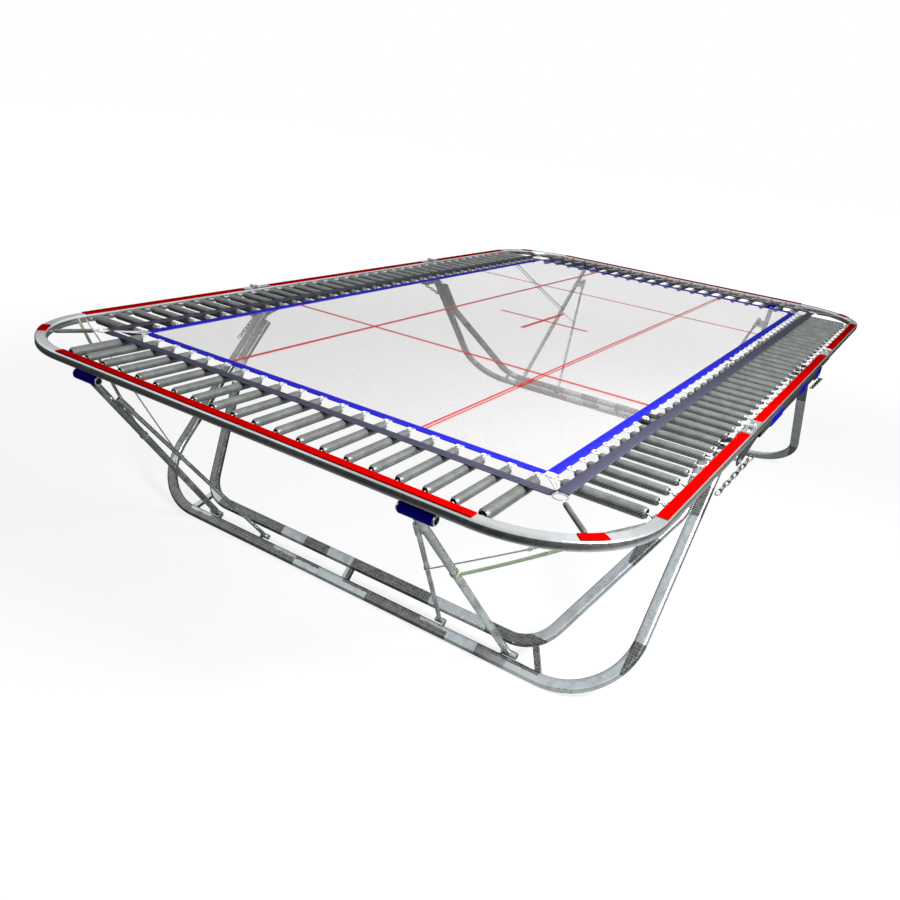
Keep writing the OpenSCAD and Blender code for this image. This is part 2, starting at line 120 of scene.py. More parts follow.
# ---------------------------------------------------------------- shader helpers
class Graph:
    """A material and a short way to add its nodes."""

    def __init__(self, name, color=(0.8, 0.8, 0.8), roughness=0.5, metallic=0.0):
        self.mat = bpy.data.materials.new(name)
        self.mat.use_nodes = True
        self.tree = self.mat.node_tree
        self.bsdf = self.tree.nodes["Principled BSDF"]
        self.set(self.bsdf, {"Base Color": (*color, 1), "Roughness": roughness, "Metallic": metallic})

    def set(self, node, inputs):
        for key, value in inputs.items():
            if isinstance(value, bpy.types.NodeSocket):
                self.tree.links.new(value, node.inputs[key])
            else:
                node.inputs[key].default_value = value
        return node

    def add(self, kind, inputs=None, **settings):
        node = self.tree.nodes.new("ShaderNode" + kind)
        for key, value in settings.items():
            setattr(node, key, value)
        return self.set(node, inputs or {})

    def math(self, operation, a, b=0.0, c=0.0):
        return self.add("Math", {0: a, 1: b, 2: c}, operation=operation).outputs[0]

    def mix(self, factor, a, b):
        node = self.add("Mix", {0: factor}, data_type="RGBA")
        for socket, value in ((node.inputs[6], a), (node.inputs[7], b)):
            if isinstance(value, bpy.types.NodeSocket):
                self.tree.links.new(value, socket)
            else:
                socket.default_value = (*value, 1)
        return node.outputs[2]

    def coords(self, kind="Object", scale=(1, 1, 1)):
        source = self.add("TexCoord").outputs[kind]
        return self.add("Mapping", {"Vector": source, "Scale": scale}).outputs[0]

    def axes(self, kind="UV"):
        split = self.add("SeparateXYZ", {0: self.add("TexCoord").outputs[kind]})
        return tuple(split.outputs)

    def along_leg(self):
        """Coordinates with z down the leg frame, the same at both ends."""
        x, y, z = self.axes("Object")
        point = self.add("CombineXYZ", {0: self.math("ABSOLUTE", x), 1: y, 2: z}).outputs[0]
        turn = (0, math.radians(LEG_TILT), 0)
        turned = self.add("Mapping", {"Vector": point, "Rotation": turn}).outputs[0]
        return tuple(self.add("SeparateXYZ", {0: turned}).outputs)

    def noise(self, scale, detail=3.0, kind="Object", stretch=(1, 1, 1)):
        inputs = {"Vector": self.coords(kind, stretch), "Scale": scale, "Detail": detail}
        return self.add("TexNoise", inputs).outputs[0]

    def ramp(self, value, low, high):
        node = self.add("MapRange", {0: value, 1: low, 2: high}, interpolation_type="SMOOTHSTEP")
        return node.outputs[0]

    def band(self, value, centre, half):
        """1 where value is within half of centre."""
        return self.math("LESS_THAN", self.math("ABSOLUTE", self.math("SUBTRACT", value, centre)), half)

    def wave(self, value, length):
        return self.math("SINE", self.math("MULTIPLY", value, math.tau / length))

    def bump(self, height, distance, strength):
        """Bump on the surface, strength from 0 to 1."""
        node = self.add("Bump", {"Height": height, "Distance": distance, "Strength": strength})
        self.set(self.bsdf, {"Normal": node.outputs[0]})

    def finish(self, **inputs):
        self.set(self.bsdf, {key.replace("_", " "): value for key, value in inputs.items()})
        return self.mat


HATCH_PITCH = 0.013  # spacing of the crossed lines on dull zinc
TURN_HIGHLIGHT_PITCH = 0.0125  # spacing of the lighter lines painted along a spring's turns as highlights
CORD_LAY = 0.008  # length of one turn of a cord's cover
STITCH = 0.006  # length of one stitch with its gap


def galvanised(name, dark, light, patch, spangle, roughness, hatch=0.0, crown=None):
    """Zinc with a fine spangle. patch gives 0 where the steel is dull and 1 where it is bright.

    hatch is the strength of the fine crossed lines on dull steel. crown is the height of the middle of a
    tube whose sides are slightly domed.
    """
    g = Graph(name, metallic=0.92)
    share = patch(g)
    cells = g.add("TexVoronoi", {"Vector": g.coords(), "Scale": 70.0}).outputs["Color"]
    flake = g.add("SeparateColor", {0: cells}).outputs[0]
    tone = g.mix(share, dark, light)
    if hatch:
        waves = [g.wave(v, HATCH_PITCH) for v in g.along_leg()[1:]]
        lines = g.math("ADD", *waves)
        lines = g.math("MULTIPLY", g.ramp(lines, -0.4, 1.2), g.math("MULTIPLY_ADD", share, -hatch, hatch))
        tone = g.mix(lines, tone, tuple(0.55 * c + 0.08 for c in light))
    tone = g.mix(g.math("MULTIPLY", flake, spangle), tone, tuple(min(1, c * 1.35 + 0.04) for c in light))
    streak = g.ramp(g.noise(22.0, 1.5, stretch=(1, 1, 0.3)), 0.45, 0.8)
    tone = g.mix(g.math("MULTIPLY", streak, 0.25), tone, tuple(c * 0.7 for c in dark))
    rough = g.math("ADD", roughness - 0.04, g.math("MULTIPLY", flake, 0.1))
    g.bump(g.noise(420.0, 2.0), 0.0002, 0.3)
    if crown:
        off = g.math("SUBTRACT", g.axes("Object")[2], crown)
        dome = g.math("MULTIPLY", g.math("MULTIPLY", off, off), -9.0)
        fine = g.bsdf.inputs["Normal"].links[0].from_node
        domed = g.add("Bump", {"Height": dome, "Distance": 1.0, "Strength": 1.0})
        g.set(fine, {"Normal": domed.outputs[0]})
    return g.finish(Base_Color=tone, Roughness=rough)


def cloudy(scale, low, high):
    """Bright and dull zinc in soft clouds."""
    return lambda g: g.ramp(g.noise(scale, 2.0), low, high)


def blocky(cell, low, high):
    """Bright and dull stretches of tube with nearly square ends, more of them bright towards -Y, which is
    painted light: the legs on side r come out lighter.
    """

    def patch(g):
        x, y, z = g.along_leg()
        wander = g.math("MULTIPLY", g.math("SUBTRACT", g.noise(30.0, 3.0), 0.5), 0.012)
        cells = {axis: g.math("SNAP", g.math("ADD", v, wander), cell) for axis, v in (("Y", y), ("Z", z))}
        value = g.add("TexWhiteNoise", {0: g.add("CombineXYZ", cells).outputs[0]}).outputs["Value"]
        # Painted light: the share of bright stretches grows towards -Y.
        share = g.add("MapRange", {0: y, 1: -1.3, 2: 1.3, 3: low, 4: high}).outputs[0]
        return g.ramp(g.math("SUBTRACT", value, share), -0.04, 0.04)

    return patch


def painted(name, color, roughness, wear, shine=0.3):
    """Smooth paint or moulded plastic with fine orange peel, dust and rubbed patches."""
    g = Graph(name, color, roughness)
    dust = g.ramp(g.noise(14.0, 6.0), 0.45, 0.75)
    tone = g.mix(g.math("MULTIPLY", dust, wear), color, tuple(0.60 * c + 0.002 for c in color))
    scratch = g.ramp(g.noise(90.0, 5.0, stretch=(0.08, 1, 1)), 0.66, 0.72)
    tone = g.mix(g.math("MULTIPLY", scratch, 0.25), tone, tuple(0.8 * c + 0.008 for c in color))
    g.bump(g.noise(650.0, 2.0), 0.0003, 0.35)
    rough = g.math("ADD", roughness, g.math("MULTIPLY", dust, 0.15))
    return g.finish(Base_Color=tone, Roughness=rough, Specular_IOR_Level=shine)


def woven(name, color, rib, stitch, stitch_color):
    """Woven band: UV x runs along it and UV y across it, in metres. stitch lists the places of the rows."""
    g = Graph(name, color, 0.75)
    x, y = g.axes()[:2]
    weave = g.math("MULTIPLY", g.wave(x, rib), g.wave(y, rib * 1.4))
    shade = g.math("MULTIPLY", g.math("ADD", weave, 1.0), 0.5)
    fuzz = g.noise(35.0, 5.0, "UV")
    tone = g.mix(shade, tuple(0.62 * c for c in color), tuple(min(1, 1.12 * c + 0.01) for c in color))
    worn = g.math("MULTIPLY", g.ramp(fuzz, 0.4, 0.75), 0.35)
    tone = g.mix(worn, tone, tuple(0.75 * c + 0.05 for c in color))
    height = g.math("MULTIPLY", shade, 0.5)
    for row in stitch:
        dash = g.math("LESS_THAN", g.math("FRACT", g.math("MULTIPLY", x, 1 / STITCH)), 0.68)
        thread = g.math("MULTIPLY", g.band(y, row, 0.0008), dash)
        tone = g.mix(thread, tone, stitch_color)
        height = g.math("ADD", height, g.math("MULTIPLY", thread, 1.4))
    g.bump(height, 0.0008, 0.8)
    return g.finish(Base_Color=tone, Specular_IOR_Level=0.12)


def bed_material():
    """Nylon strings, with red ones under the marking tapes, picked by their place (UV is x, y at rest)."""
    base, mark = (0.68, 0.64, 0.655), (0.60, 0.035, 0.04)
    g = Graph("bed_string", base, 0.55)
    x, y = g.axes()[:2]
    red = g.math("MAXIMUM", g.band(g.math("ABSOLUTE", x), MARK_X, MARK_HALF), g.band(y, MARK_Y, MARK_HALF))
    red = g.math("MAXIMUM", red, g.band(y, -MARK_Y - 0.01, MARK_HALF))
    cross_x = g.math("MULTIPLY", g.band(x, 0.0, MARK_ARM), g.band(y, 0.0, MARK_HALF))
    cross_y = g.math("MULTIPLY", g.band(y, 0.0, MARK_ARM), g.band(x, 0.0, MARK_HALF))
    red = g.math("MAXIMUM", red, g.math("MAXIMUM", cross_x, cross_y))
    twist = g.noise(260.0, 3.0, "UV")
    tone = g.mix(g.ramp(twist, 0.3, 0.7), tuple(0.86 * c for c in base), base)
    soil = g.ramp(g.noise(1.6, 4.0, "UV"), 0.5, 0.8)
    tone = g.mix(g.math("MULTIPLY", soil, 0.22), tone, (0.62, 0.58, 0.58))
    tone = g.mix(red, tone, mark)
    g.bump(twist, 0.0004, 0.6)
    return g.finish(Base_Color=tone, Subsurface_Weight=0.05)


def spring_steel(name, dark, light):
    """Oiled wire: dull grey, with painted highlights as lighter slanting lines along its turns, and a
    painted sheen where it is seen at a grazing angle.
    """
    g = Graph(name, metallic=0.55)
    tone = g.mix(g.ramp(g.noise(22.0, 4.0), 0.3, 0.75), dark, light)
    x, y, z = g.axes("Object")
    # Painted highlights: lighter slanting lines along the turns of the wire.
    slant = g.math("ADD", g.math("ADD", x, y), g.math("MULTIPLY", z, 0.8))
    turns = g.ramp(g.wave(slant, TURN_HIGHLIGHT_PITCH), -0.2, 1.0)
    tone = g.mix(g.math("MULTIPLY", turns, 0.6), tone, tuple(1.7 * c for c in light))
    rust = g.ramp(g.noise(60.0, 5.0), 0.66, 0.78)
    tone = g.mix(g.math("MULTIPLY", rust, 0.25), tone, (0.12, 0.10, 0.08))
    # Painted sheen: the wire is lighter where it is seen at a grazing angle.
    grazing_sheen = g.ramp(g.add("LayerWeight", {"Blend": 0.5}).outputs["Facing"], 0.70, 0.90)
    tone = g.mix(g.math("MULTIPLY", grazing_sheen, 0.65), tone, (0.52, 0.55, 0.54))
    g.bump(g.noise(500.0, 3.0), 0.0003, 0.5)
    rough = g.math("ADD", 0.42, g.math("MULTIPLY", g.noise(40.0), 0.2))
    return g.finish(Base_Color=tone, Roughness=rough, Coat_Weight=0.8, Coat_Roughness=0.3)


def cord(name, color):
    """Twisted cord cover."""
    g = Graph(name, color, 0.7)
    x, y = g.axes()[:2]
    twist = g.wave(g.math("ADD", x, g.math("MULTIPLY", y, 0.8)), CORD_LAY)
    tone = g.mix(g.ramp(twist, -1.0, 1.0), tuple(0.6 * c for c in color), color)
    g.bump(twist, 0.001, 0.7)
    return g.finish(Base_Color=tone)


METAL = {
    "rail": galvanised(
        "rail_zinc", (0.42, 0.44, 0.445), (0.66, 0.69, 0.71), cloudy(2.0, 0.35, 0.75), 0.07, 0.22,
        crown=RAIL_TOP - RAIL_HALF,
    ),
    "leg": galvanised(
        "leg_zinc", (0.085, 0.09, 0.08), (0.50, 0.545, 0.565), blocky(0.15, 0.30, 0.88), 0.14, 0.30,
        hatch=0.40,
    ),
    "brace": galvanised(
        "brace_zinc", (0.36, 0.40, 0.39), (0.64, 0.70, 0.68), cloudy(9.0, 0.40, 0.62), 0.10, 0.26,
    ),
    "fitting": galvanised(
        "fitting_zinc", (0.45, 0.47, 0.48), (0.78, 0.80, 0.82), cloudy(12.0, 0.35, 0.70), 0.2, 0.26,
    ),
    "chain": galvanised(
        "chain_zinc", (0.10, 0.105, 0.10), (0.30, 0.31, 0.30), cloudy(30.0, 0.35, 0.70), 0.2, 0.36,
    ),
    "coil": spring_steel("coil_steel", (0.080, 0.088, 0.084), (0.165, 0.178, 0.172)),
}
SMOOTH = {
    "wire": painted("bright_wire", (0.88, 0.89, 0.90), 0.35, 0.1, 0.5),
    "dark": painted("dark_paint", (0.030, 0.034, 0.031), 0.42, 0.5),
    "red": painted("red_strip", (0.64, 0.0003, 0.0005), 0.60, 0.10, 0.0),
    "blue": painted("blue_sleeve", (0.002, 0.003, 0.46), 0.5, 0.12, 0.04),
    "cap": painted("black_cap", (0.015, 0.015, 0.015), 0.55, 0.4),
}
FABRIC = {
    "bed": bed_material(),
    "webbing": woven(
        "blue_webbing", (0.012, 0.012, 0.72), 0.0024, (-0.017, -0.014, 0.014, 0.017), (0.05, 0.05, 0.90)
    ),
    "belt": woven("grey_belt", (0.070, 0.068, 0.115), 0.0030, (-0.020, 0.020), (0.17, 0.17, 0.25)),
    "strap": woven("green_strap", (0.56, 0.70, 0.44), 0.0026, (-0.005, 0.005), (0.58, 0.68, 0.46)),
    "patch": woven("white_patch", (0.80, 0.80, 0.82), 0.0024, (-0.014, 0.014), (0.90, 0.90, 0.90)),
    "rope": cord("grey_cord", (0.78, 0.76, 0.76)),
}
MAT = {**METAL, **SMOOTH, **FABRIC}


# ---------------------------------------------------------------- mesh helpers
class Shape:
    """Many small closed forms gathered into one mesh, with UVs in metres."""

    def __init__(self):
        self.verts, self.faces, self.uvs, self.slots = [], [], [], []
        self.count = 0

    def add(self, verts, faces, uvs=None, slot=0):
        verts = np.asarray(verts, float)
        uvs = verts[:, :2] if uvs is None else np.asarray(uvs, float)
        self.verts.append(verts)
        self.uvs.append(uvs)
        self.faces.extend(tuple(i + self.count for i in f) for f in faces)
        self.slots.extend([slot] * len(faces))
        self.count += len(verts)

    def placed(self, other, matrix):
        """Adds another shape, moved by a matrix."""
        m = np.array(matrix, float)
        verts = np.concatenate(other.verts) @ m[:3, :3].T + m[:3, 3]
        flip = np.linalg.det(m[:3, :3]) < 0
        self.verts.append(verts)
        self.uvs.extend(other.uvs)
        self.faces.extend(tuple(i + self.count for i in (f[::-1] if flip else f)) for f in other.faces)
        self.slots.extend(other.slots)
        self.count += len(verts)

    def mirrored(self, sx, *sides):
        """A copy for the end sx, once for each of the sides."""
        out = Shape()
        for sy in sides or (1,):
            out.placed(self, mirror(sx, sy))
        return out

    def build(self, name, materials, angle=40):
        mesh = bpy.data.meshes.new(name)
        mesh.from_pydata(np.concatenate(self.verts).tolist(), [], self.faces)
        uv = np.concatenate(self.uvs)
        loops = np.zeros(len(mesh.loops), np.int32)
        mesh.loops.foreach_get("vertex_index", loops)
        mesh.uv_layers.new(name="rest").data.foreach_set("uv", uv[loops].ravel())
        mesh.polygons.foreach_set("material_index", self.slots)
        for m in materials:
            mesh.materials.append(MAT[m])
        smooth(mesh, angle)
        return new_object(name, mesh)


def new_object(name, data):
    obj = bpy.data.objects.new(name, data)
    bpy.context.scene.collection.objects.link(obj)
    return obj


def smooth(mesh, angle):
    """Smooth shading, with edges sharper than the angle left crisp."""
    mesh.polygons.foreach_set("use_smooth", [True] * len(mesh.polygons))
    mesh.set_sharp_from_angle(angle=math.radians(angle))


def sweep(profile, points, up=UP, closed=False, across=None, scales=None):
    """A closed profile of (across, up) pairs carried along a line of points. Returns verts, faces, uvs."""
    points = np.asarray(points, float)
    profile = np.asarray(profile, float)
    k, n = len(profile), len(points)
    across = np.zeros(k) if across is None else np.asarray(across, float)
    if closed:
        ahead, back = np.roll(points, -1, 0), np.roll(points, 1, 0)
    else:
        ahead, back = np.vstack([points[1:], points[-1:]]), np.vstack([points[:1], points[:-1]])
    tangent = ahead - back
    tangent /= np.linalg.norm(tangent, axis=1)[:, None]
    side = np.cross(np.asarray(up, float).reshape(-1, 3) * np.ones((n, 1)), tangent)
    side /= np.linalg.norm(side, axis=1)[:, None]
    high = np.cross(tangent, side)
    step = np.linalg.norm(np.diff(points, axis=0), axis=1)
    run = np.concatenate([[0], np.cumsum(step)])
    verts, uvs = [], []
    for i in range(n):
        s = 1.0 if scales is None else scales[i]
        verts.append(points[i] + s * (profile[:, :1] * side[i] + profile[:, 1:] * high[i]))
        uvs.append(np.stack([np.full(k, run[i]), across], 1))
    faces = []
    for i in range(n if closed else n - 1):
        a, b = i * k, ((i + 1) % n) * k
        faces += [(a + j, b + j, b + (j + 1) % k, a + (j + 1) % k) for j in range(k)]
    if not closed:
        faces += [tuple(range(k)), tuple(reversed(range((n - 1) * k, n * k)))]
    return np.concatenate(verts), faces, np.concatenate(uvs)


def wire(points, radius, sides=6, closed=False, up=UP):
    """A round wire."""
    turns = [math.tau * i / sides for i in range(sides)]
    profile = [(radius * math.cos(t), radius * math.sin(t)) for t in turns]
    across = [radius * t for t in turns]
    return sweep(profile, points, up, closed, across)


def band(points, width, thickness, up=UP, closed=False, scales=None):
    """A flat woven band with rounded edges."""
    w, t = width / 2, thickness / 2
    half = [(w, 0.0), (w - 0.4 * t, 0.7 * t), (w - 1.2 * t, t), (0.0, t)]
    half += [(-w + 1.2 * t, t), (-w + 0.4 * t, 0.7 * t)]
    profile = half + [(-x, -y) for x, y in half]
    return sweep(profile, points, up, closed, [p[0] for p in profile], scales)


def fold_steps(x0, x1, step):
    """Places along X from x0 to x1, close together where fabric turns at the fold."""
    near = np.linspace(FOLD_X - BEND, FOLD_X + BEND, 25)
    far = np.arange(x0, x1, step)
    far = far[np.abs(far - FOLD_X) > BEND + 0.004]
    return np.unique(np.concatenate([near, far, [x0, x1]]))


def mirror(sx, sy):
    """Carries a piece made for end b and side l to another end or side."""
    return Matrix.Diagonal((sx, sy, 1, 1))


def stand_for(obj, slot, *nodes):
    """Hides the CAD nodes that a piece takes the place of; slot, its material slot, is not used."""
    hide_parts(*nodes)


def across_fold(obj):
    """Fabric that runs from the middle section to an end section: its transform is baked into its mesh."""
    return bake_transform(obj)


# ---------------------------------------------------------------- CAD nodes that stay
def dress(material, *names):
    for name in names:
        node = frame["nodes"][name]
        node.data.materials.clear()
        node.data.materials.append(MAT[material])
        smooth(node.data, 30)


dress("rail", "middle_rail_l", "middle_rail_r", "end_frame_a", "end_frame_b")
dress("dark", "under_rails", "leg_brackets")
dress("blue", "under_rail_sleeves")
dress("fitting", "hinge_leaves_mid", "hinge_pins", "leg_pins", "hinge_leaves_a", "hinge_leaves_b")
dress("red", "strips_mid", "strips_a", "strips_b")
for e, _ in ENDS:
    dress("leg", "outer_leg_" + e, "inner_leg_" + e, "cross_bars_" + e)
    dress("cap", "leg_caps_" + e)
    dress("fitting", "brace_lugs_" + e, "corner_rings_" + e)
    for s, _ in SIDES:
        dress("brace", "brace_" + e + s)
        dress("blue", "brace_sleeve_" + e + s)


# ---------------------------------------------------------------- bed
def marking_tapes(xs, ys):
    """The red lines on one half of the bed, as points and widths. The long line at -Y is a double one."""
    yield [(x, MARK_Y, 0) for x in xs], TAPE_W
    for y in (-MARK_Y - 0.001, -MARK_Y - 0.019):
        yield [(x, y, 0) for x in xs], 0.008
    yield [(x, 0, 0) for x in (0, 0.15, MARK_ARM)], 0.024
    yield [(0.006, y, 0) for y in (-MARK_ARM, 0, MARK_ARM)], 0.012
    yield [(MARK_X, y, 0) for y in ys], TAPE_W


def bed_half(end, sx):
    """Crossed strings from the middle of the bed to one end, with the marking tapes on top."""
    shape = Shape()
    x_edge, y_edge = BED_X - WEB_W + NET_TUCK, BED_Y - WEB_W + NET_TUCK
    flat = [(STRING_W / 2, 0.0), (0.0, STRING_HALF), (-STRING_W / 2, 0.0), (0.0, -STRING_HALF)]
    xs = fold_steps(0.0, x_edge, 0.35)
    ys = np.linspace(-y_edge, y_edge, 3)
    rows = int(y_edge / STRING_PITCH)
    lines = [[(x, i * STRING_PITCH, BED_Z + STRING_LIFT) for x in xs] for i in range(-rows, rows + 1)]
    for i in range(int(x_edge / STRING_PITCH)):
        lines.append([((i + 0.5) * STRING_PITCH, y, BED_Z - STRING_LIFT) for y in ys])
    for points in lines:
        verts, faces, _ = sweep(flat, points)
        shape.add(verts, faces)
    for points, width in marking_tapes(xs, ys):
        raised = [Vector(p) + Vector((0, 0, BED_Z + TAPE_LIFT)) for p in points]
        verts, faces, _ = band(raised, width, TAPE_T)
        shape.add(verts, faces)
    net = shape.mirrored(sx)
    net.uvs = [v[:, :2] for v in net.verts]
    obj = net.build("bed_net_" + end, ["bed"], 60)
    across_fold(obj)
    stand_for(obj, "bed", "bed_mid", "bed_" + end)


def webbing_sides(end, sx):
    """The border along the two long sides."""
    shape = Shape()
    points = [(x, BED_Y - WEB_W / 2, BED_Z) for x in fold_steps(0.0, BED_X - WEB_W, 0.12)]
    shape.add(*band(points, WEB_W - WEB_GAP, WEB_T))
    for s, sy in SIDES:
        obj = shape.mirrored(sx, sy).build("webbing_side_" + end + s, ["webbing"])
        across_fold(obj)
        stand_for(obj, "webbing", "webbing_mid", "webbing_" + end)


def webbing_end(end, sx):
    """The border across one end, with a white patch and its stitching at each corner."""
    shape, corner = Shape(), Shape()
    y_edge = BED_Y - WEB_W
    points = [(BED_X - WEB_W / 2, y, BED_Z) for y in np.linspace(-y_edge, y_edge, 9)]
    shape.add(*band(points, WEB_W - WEB_GAP, WEB_T))
    obj = shape.mirrored(sx).build("webbing_end_" + end, ["webbing"])
    stand_for(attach(obj, "end_" + end), "webbing", "webbing_" + end)
    points = [(x, BED_Y - WEB_W / 2, BED_Z) for x in (BED_X - WEB_W + 0.002, BED_X - 0.003)]
    corner.add(*band(points, WEB_W - 0.006, WEB_T * 0.8))
    obj = corner.mirrored(sx, 1, -1).build("bed_corners_" + end, ["patch"])
    stand_for(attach(obj, "end_" + end), "bed", "bed_" + end)


# ---------------------------------------------------------------- springs
def coil(shape, radius, start, stop, pitch, around, groove, taper, neck):
    """A close-wound coil along +Y. groove is the depth between turns, and over the length taper each end
    closes in to the share neck of the radius."""
    count = int((stop - start) / pitch) * around + 1
    i = np.arange(count)
    theta = math.tau * i / around
    rings = []
    for shift, depth in ((0.0, groove), (0.5, 0.0)):
        y = start + pitch * (i / around + shift)
        rim = np.clip(np.minimum(y - start, stop - y) / taper, 0, 1)
        r = (radius - depth) * (neck + (1 - neck) * np.sqrt(rim))
        rings.append(np.stack([r * np.cos(theta), y, r * np.sin(theta)], 1))
    faces = [(a, a + 1, count + a + 1, count + a) for a in range(count - 1)]
    faces += [(count + a, count + a + 1, a + around + 1, a + around) for a in range(count - 1 - around)]
    shape.add(np.concatenate(rings), faces)


def bent(shape, radius, *points):
    """A bent wire in the plane x = 0, through points (y, z)."""
    shape.add(*wire([(0, y, z) for y, z in points], radius, up=(1, 0, 0)), slot=1)


def spring(length, radius):
    """A spring along +Y from the bed border to the rail, with its two hooks, the ring and the bow."""
    shape = Shape()
    rise = BED_Z - COIL_TOP + radius
    y0, y1 = HOOK_BED, length - HOOK_RAIL
    coil(shape, radius, y0, y1, COIL_PITCH, 12, 0.0013, 0.014, 0.42)
    neck = ((y0 + 0.006, 0), (y0 - 0.001, 0.3 * rise))
    curl = ((0.019, 0.004), (0.014, 0.007), (0.008, 0.003))
    curl += ((0.008, -0.004), (0.013, -0.007), (0.018, -0.005))
    bent(shape, 0.0032, *neck, *((y, rise + z) for y, z in curl))
    tail = ((-0.006, 0), (0.008, 0), (0.015, 0.005), (0.020, 0.0), (0.015, -0.005))
    bent(shape, 0.0034, *((y1 + y, z) for y, z in tail))
    ring = [(-0.013, -0.003), (0.013, -0.003), (0.016, 0.008), (0.008, 0.019)]
    ring += [(-0.008, 0.019), (-0.016, 0.008)]
    shape.add(*wire([(x, y, rise) for x, y in ring], 0.0032, closed=True), slot=1)
    bow = [(-0.017, length - 0.001, 0), (-0.015, length - 0.010, 0), (-0.007, length - 0.016, 0)]
    bow += [(-x, y, z) for x, y, z in reversed(bow)]
    shape.add(*wire(bow, 0.0042), slot=1)
    return shape


def spring_row(shape, name, body, node):
    """One mesh of springs, on its body."""
    obj = shape.build(name, ["coil", "wire"], 60)
    stand_for(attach(obj, body), "spring_steel", node)


def lay_springs():
    """All the springs but the corner ones. The last of each row on an end section is a heavier one."""
    side_len, end_len = RAIL_Y - RAIL_HALF - BED_Y, RAIL_X - RAIL_HALF - BED_X
    side = {r: spring(side_len, r) for r in (COIL_R, HEAVY_R)}
    end = {r: spring(end_len, r) for r in (COIL_R, HEAVY_R)}
    to_end = Matrix.Rotation(-math.pi / 2, 4, "Z")
    middle = Shape()
    for k in range(1 - FIRST_OUT, FIRST_OUT):
        for _, sy in SIDES:
            place = Matrix.Translation((k * SIDE_PITCH, BED_Y, COIL_TOP - COIL_R))
            middle.placed(side[COIL_R], mirror(1, sy) @ place)
    spring_row(middle, "spring_row_mid", "middle", "springs_mid")
    for e, sx in ENDS:
        rows, heads = Shape(), Shape()
        for _, sy in SIDES:
            for k in range(FIRST_OUT, SIDE_COUNT + 1):
                r = HEAVY_R if k == SIDE_COUNT else COIL_R
                place = Matrix.Translation((k * SIDE_PITCH, BED_Y, COIL_TOP - r))
                rows.placed(side[r], mirror(sx, sy) @ place)
            for k in range(1, END_COUNT + 1):
                r = HEAVY_R if k == END_COUNT else COIL_R
                place = Matrix.Translation((BED_X, (k - 0.5) * END_PITCH, COIL_TOP - r))
                heads.placed(end[r], mirror(sx, sy) @ place @ to_end)
        spring_row(rows, "spring_row_side_" + e, "end_" + e, "side_springs_" + e)
        spring_row(heads, "spring_row_end_" + e, "end_" + e, "end_springs_" + e)


def corner_spring(end, sx):
    """The diagonal spring at each corner, with the wires that tie the border's ends to the ring."""
    lean = math.radians(CORNER_LEAN)
    far = Vector((RAIL_X - CORNER_R, RAIL_Y - CORNER_R, RAIL_TOP - 0.014))
    far += Vector((math.cos(lean), math.sin(lean), 0)) * (CORNER_R - RAIL_HALF - 0.003)
    near = RING + Vector((0.0180, 0.0190, -0.003))
    length = (far - near).length
    start, stop = 0.012, length - 0.016
    one = Shape()
    coil(one, CORNER_COIL_R, start, stop, CORNER_COIL_PITCH, 10, 0.0010, 0.010, 0.4)
    bent(one, 0.0018, (start + 0.004, 0), (0.008, 0), (0.003, 0.004), (-0.004, 0.002), (0.002, -0.004))
    tail = ((-0.010, 0), (-0.003, 0.003), (-0.001, -0.002))
    bent(one, 0.0018, (stop - 0.004, 0), *((length + y, z) for y, z in tail))
    quarter = Shape()
    slope = (far - near).normalized().to_track_quat("Y", "Z").to_matrix().to_4x4()
    quarter.placed(one, Matrix.Translation(near) @ slope)
    for x, y in ((BED_X - 0.006, BED_Y - 0.024), (BED_X - 0.024, BED_Y - 0.006)):
        border = Vector((x, y, BED_Z))
        tie = [border, RING.lerp(border, 0.5), RING - Vector((0.0185, 0.0185, 0.001))]
        quarter.add(*wire(tie, 0.0024), slot=1)
    spring_row(quarter.mirrored(sx, 1, -1), "corner_coils_" + end, "end_" + end, "corner_springs_" + end)


# ---------------------------------------------------------------- belts
def belt_line(shape, points):
    """A belt with a black sewn end where it turns back over the corner ring."""
    shape.add(*band(points, BELT_W, BELT_T))
    last, before = Vector(points[-1]), Vector(points[-2])
    ahead = (last - before).normalized()
    sewn = [last + ahead * d for d in (-0.0005, 0.004, 0.0075)]
    shape.add(*band(sewn, BELT_W, BELT_T * 1.6, scales=(1.0, 1.0, 0.96)), slot=1)
    under = [last - ahead * d + Vector((0, 0, -0.9 * BELT_T)) for d in (0.001, 0.02, 0.06)]
    shape.add(*band(under, BELT_W * 0.96, BELT_T * 0.6))


def belts(end, sx):
    """The belts along the long sides, which rise a little over each spring, and the belt across the end."""
    level, stop = 0.075, RING_R + 0.010  # distances before the ring
    side, half = Shape(), Shape()
    waves = [(x, math.sin(x * math.tau / SIDE_PITCH)) for x in fold_steps(0.0, RING.x - level, 0.12)]
    points = [(x, BELT_Y, BELT_Z + 0.0004 * wave) for x, wave in waves]
    points += [(x, BELT_Y, BELT_Z) for x in (RING.x - 0.055, RING.x - 0.040, RING.x - stop)]
    belt_line(side, points)
    for s, sy in SIDES:
        obj = side.mirrored(sx, sy).build("belt_side_" + end + s, ["belt", "cap"])
        across_fold(obj)
        stand_for(obj, "belt", "belts_mid", "belts_" + end)
    ys = [*np.arange(0.0, RING.y - level, 0.107), RING.y - 0.055, RING.y - 0.045, RING.y - stop]
    belt_line(half, [(BELT_X, y, BELT_Z) for y in ys])
    obj = half.mirrored(sx, 1, -1).build("belt_end_" + end, ["belt", "cap"])
    stand_for(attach(obj, "end_" + end), "belt", "belts_" + end)


# ---------------------------------------------------------------- ties and chains
def circle(count):
    """Angles once round, without the last one."""
    return np.linspace(0, math.tau, count + 1)[:-1]


